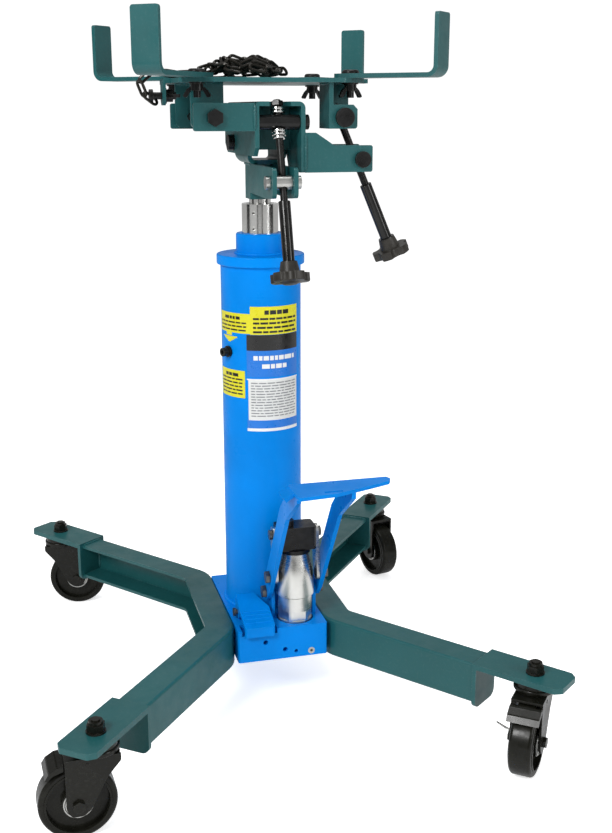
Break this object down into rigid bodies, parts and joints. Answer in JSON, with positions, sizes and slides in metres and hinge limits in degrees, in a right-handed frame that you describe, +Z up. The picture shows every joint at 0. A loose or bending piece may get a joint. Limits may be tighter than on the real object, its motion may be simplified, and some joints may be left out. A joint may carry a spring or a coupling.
{
  "type": "telescopic hydraulic transmission jack",
  "caption": "Foot-pumped two-stage telescopic jack on four swivel casters, with a tilting saddle table, swing-out corner arms and a hold-down chain.",
  "frame": {"origin": "on the floor under the centre of the column", "axes": "+Z up along the rams, +X to the right seen from the pedal side, +Y to the back"},
  "size_m": [0.727, 0.8546, 1.012],
  "materials": {
    "teal_paint": "gloss enamel",
    "blue_paint": "gloss enamel",
    "bare_steel": "turned",
    "zinc_bolts": "zinc plated",
    "black_plastic": "matte",
    "caster_black": "satin black",
    "wheel_black": "moulded",
    "bearing_steel": "pressed",
    "chrome": "hard chrome",
    "black_paint": "black oxide",
    "grip_black": "gloss"
  },
  "bodies": {
    "base": {"base_block": "blue_paint", "leg_left": "teal_paint", "leg_right": "teal_paint", "leg_bolts": "zinc_bolts", "outer_tube": "blue_paint", "inner_cylinder": "bare_steel", "top_cap": "blue_paint", "gland_collar": "blue_paint", "filler_plug": "black_plastic", "port_plug": "bare_steel", "pump_barrel": "chrome", "caster_stems": "caster_black", "pedal_pins": "zinc_bolts", "return_spring": "bare_steel"},
    "ram_1": {"ram_stage_1": "chrome", "stage_gland": "bare_steel"},
    "ram_2": {"ram_stage_2": "chrome"},
    "post": {"saddle_post": "teal_paint", "tilt_bolt": "black_paint"},
    "yoke": {"yoke": "teal_paint", "hinge_bolt": "black_paint"},
    "table": {"saddle_table": "teal_paint", "arm_bolts": "black_paint", "chain": "black_paint", "chain_bolt": "black_paint"},
    "front_upper": {"front_upper_trunnion": "black_paint"},
    "front_rod": {"front_screw": "black_paint", "front_grip": "grip_black"},
    "front_lower": {"front_lower_trunnion": "bare_steel"},
    "side_upper": {"side_upper_trunnion": "black_paint"},
    "side_rod": {"side_screw": "black_paint", "side_grip": "grip_black"},
    "side_lower": {"side_lower_trunnion": "black_paint"},
    "pump": {"pump_plunger": "bare_steel", "pump_bell": "chrome", "pump_head": "black_paint", "head_pin": "zinc_bolts"},
    "links": {"link_plates": "bare_steel"},
    "pedal": {"pump_pedal": "blue_paint", "link_bolts": "zinc_bolts"},
    "release": {"release_pedal": "blue_paint"},
    "valve": {"release_valve": "bare_steel"},
    "fork_fl": {"caster_fork_fl": "caster_black"},
    "wheel_fl": {"caster_wheel_fl": "wheel_black", "caster_bearing_fl": "bearing_steel"},
    "brake_fl": {"caster_brake_fl": "caster_black"},
    "fork_fr": {"caster_fork_fr": "caster_black"},
    "wheel_fr": {"caster_wheel_fr": "wheel_black", "caster_bearing_fr": "bearing_steel"},
    "brake_fr": {"caster_brake_fr": "caster_black"},
    "fork_rl": {"caster_fork_rl": "caster_black"},
    "wheel_rl": {"caster_wheel_rl": "wheel_black", "caster_bearing_rl": "bearing_steel"},
    "fork_rr": {"caster_fork_rr": "caster_black"},
    "wheel_rr": {"caster_wheel_rr": "wheel_black", "caster_bearing_rr": "bearing_steel"},
    "arm_fl": {"saddle_arm_fl": "teal_paint"},
    "arm_fr": {"saddle_arm_fr": "teal_paint"},
    "arm_rl": {"saddle_arm_rl": "teal_paint"},
    "arm_rr": {"saddle_arm_rr": "teal_paint"}
  },
  "joints": [
    {"name": "swivel_fl", "type": "hinge", "parent": "base", "child": "fork_fl", "pos_m": [-0.3, -0.367, 0.122], "axis": [0, 0, 1], "continuous": true},
    {"name": "wheel_fl", "type": "hinge", "parent": "fork_fl", "child": "wheel_fl", "pos_m": [-0.32796, -0.36846, 0.05], "axis": [0.0523, -0.9986, 0], "continuous": true},
    {"name": "brake_fl", "type": "hinge", "parent": "fork_fl", "child": "brake_fl", "pos_m": [-0.31498, -0.36778, 0.1052], "axis": [0.0523, -0.9986, 0], "range_deg": [0, 4]},
    {"name": "swivel_fr", "type": "hinge", "parent": "base", "child": "fork_fr", "pos_m": [0.3, -0.367, 0.122], "axis": [0, 0, 1], "continuous": true},
    {"name": "wheel_fr", "type": "hinge", "parent": "fork_fr", "child": "wheel_fr", "pos_m": [0.28238, -0.38876, 0.05], "axis": [0.7771, -0.6293, 0], "continuous": true},
    {"name": "brake_fr", "type": "hinge", "parent": "fork_fr", "child": "brake_fr", "pos_m": [0.29056, -0.37866, 0.1052], "axis": [0.7771, -0.6293, 0], "range_deg": [0, 4]},
    {"name": "swivel_rl", "type": "hinge", "parent": "base", "child": "fork_rl", "pos_m": [-0.3, 0.367, 0.122], "axis": [0, 0, 1], "continuous": true},
    {"name": "wheel_rl", "type": "hinge", "parent": "fork_rl", "child": "wheel_rl", "pos_m": [-0.27261, 0.36118, 0.05], "axis": [0.2079, 0.9781, 0], "continuous": true},
    {"name": "swivel_rr", "type": "hinge", "parent": "base", "child": "fork_rr", "pos_m": [0.3, 0.367, 0.122], "axis": [0, 0, 1], "continuous": true},
    {"name": "wheel_rr", "type": "hinge", "parent": "fork_rr", "child": "wheel_rr", "pos_m": [0.30677, 0.33983, 0.05], "axis": [0.9703, 0.2419, 0], "continuous": true},
    {"name": "ram_1_lift", "type": "slide", "parent": "base", "child": "ram_1", "axis": [0, 0, 1], "range_m": [0, 0.45]},
    {"name": "ram_2_lift", "type": "slide", "parent": "ram_1", "child": "ram_2", "axis": [0, 0, 1], "range_m": [0, 0.45]},
    {"name": "saddle_swivel", "type": "hinge", "parent": "ram_2", "child": "post", "pos_m": [0, 0, 0.762], "axis": [0, 0, 1], "continuous": true},
    {"name": "yoke_tilt", "type": "hinge", "parent": "post", "child": "yoke", "pos_m": [0, 0.015, 0.842], "axis": [1, 0, 0], "range_deg": [-5, 7]},
    {"name": "table_tilt", "type": "hinge", "parent": "yoke", "child": "table", "pos_m": [-0.0894, 0, 0.878], "axis": [0, 1, 0], "range_deg": [-5, 5]},
    {"name": "arm_fl_swing", "type": "hinge", "parent": "table", "child": "arm_fl", "pos_m": [-0.107, -0.1, 0.93], "axis": [0, 0, 1], "range_deg": [-30, 30]},
    {"name": "arm_fr_swing", "type": "hinge", "parent": "table", "child": "arm_fr", "pos_m": [0.107, -0.1, 0.93], "axis": [0, 0, 1], "range_deg": [-30, 30]},
    {"name": "arm_rl_swing", "type": "hinge", "parent": "table", "child": "arm_rl", "pos_m": [-0.107, 0.1, 0.93], "axis": [0, 0, 1], "range_deg": [-30, 30]},
    {"name": "arm_rr_swing", "type": "hinge", "parent": "table", "child": "arm_rr", "pos_m": [0.107, 0.1, 0.93], "axis": [0, 0, 1], "range_deg": [-30, 30]},
    {"name": "front_trunnion_upper", "type": "hinge", "parent": "yoke", "child": "front_upper", "pos_m": [0, -0.118, 0.872], "axis": [1, 0, 0], "range_deg": [-9, 7]},
    {"name": "front_trunnion_lower", "type": "hinge", "parent": "post", "child": "front_lower", "pos_m": [0, -0.142, 0.793], "axis": [1, 0, 0], "range_deg": [-2, 2]},
    {"name": "front_screw_spin", "type": "hinge", "parent": "front_upper", "child": "front_rod", "pos_m": [0, -0.118, 0.872], "axis": [0, -0.2907, -0.9568], "continuous": true},
    {"name": "side_trunnion_upper", "type": "hinge", "parent": "table", "child": "side_upper", "pos_m": [0.092, -0.097, 0.878], "axis": [0, 1, 0], "range_deg": [-12, 12]},
    {"name": "side_trunnion_lower", "type": "hinge", "parent": "yoke", "child": "side_lower", "pos_m": [0.116, -0.097, 0.822], "axis": [0, 1, 0], "range_deg": [-7, 7]},
    {"name": "side_screw_spin", "type": "hinge", "parent": "side_upper", "child": "side_rod", "pos_m": [0.092, -0.097, 0.878], "axis": [0.3939, 0, -0.9191], "continuous": true},
    {"name": "pump_pedal", "type": "hinge", "parent": "base", "child": "pedal", "pos_m": [0.027, -0.078, 0.172], "axis": [1, 0, 0], "range_deg": [0, 32], "stiffness_Nm_per_rad": 6, "springref_deg": -34.38},
    {"name": "pump_stroke", "type": "slide", "parent": "base", "child": "pump", "axis": [0, 0, -1], "range_m": [0, 0.024], "deforming": ["return_spring"]},
    {"name": "pump_links", "type": "hinge", "parent": "pump", "child": "links", "pos_m": [0.027, -0.095, 0.27], "axis": [1, 0, 0], "range_deg": [-14, 2]},
    {"name": "release_pedal", "type": "hinge", "parent": "base", "child": "release", "pos_m": [-0.045, -0.08, 0.144], "axis": [1, 0, 0], "range_deg": [0, 7], "stiffness_Nm_per_rad": 0.6, "springref_deg": -28.65},
    {"name": "release_valve", "type": "slide", "parent": "base", "child": "valve", "axis": [0, 0, -1], "range_m": [0, 0.005]}
  ],
  "couplings": [
    {"joint": "front_trunnion_upper", "follows": "yoke_tilt", "ratio": -1.1575},
    {"joint": "front_trunnion_lower", "follows": "yoke_tilt", "ratio": -0.1575},
    {"joint": "side_trunnion_upper", "follows": "table_tilt", "ratio": -2.1625},
    {"joint": "side_trunnion_lower", "follows": "table_tilt", "ratio": -1.1625},
    {"joint": "pump_stroke", "follows": "pump_pedal", "m_per_rad": 0.0405},
    {"joint": "pump_links", "follows": "pump_pedal", "ratio": -0.406},
    {"joint": "release_valve", "follows": "release_pedal", "m_per_rad": 0.04}
  ]
}
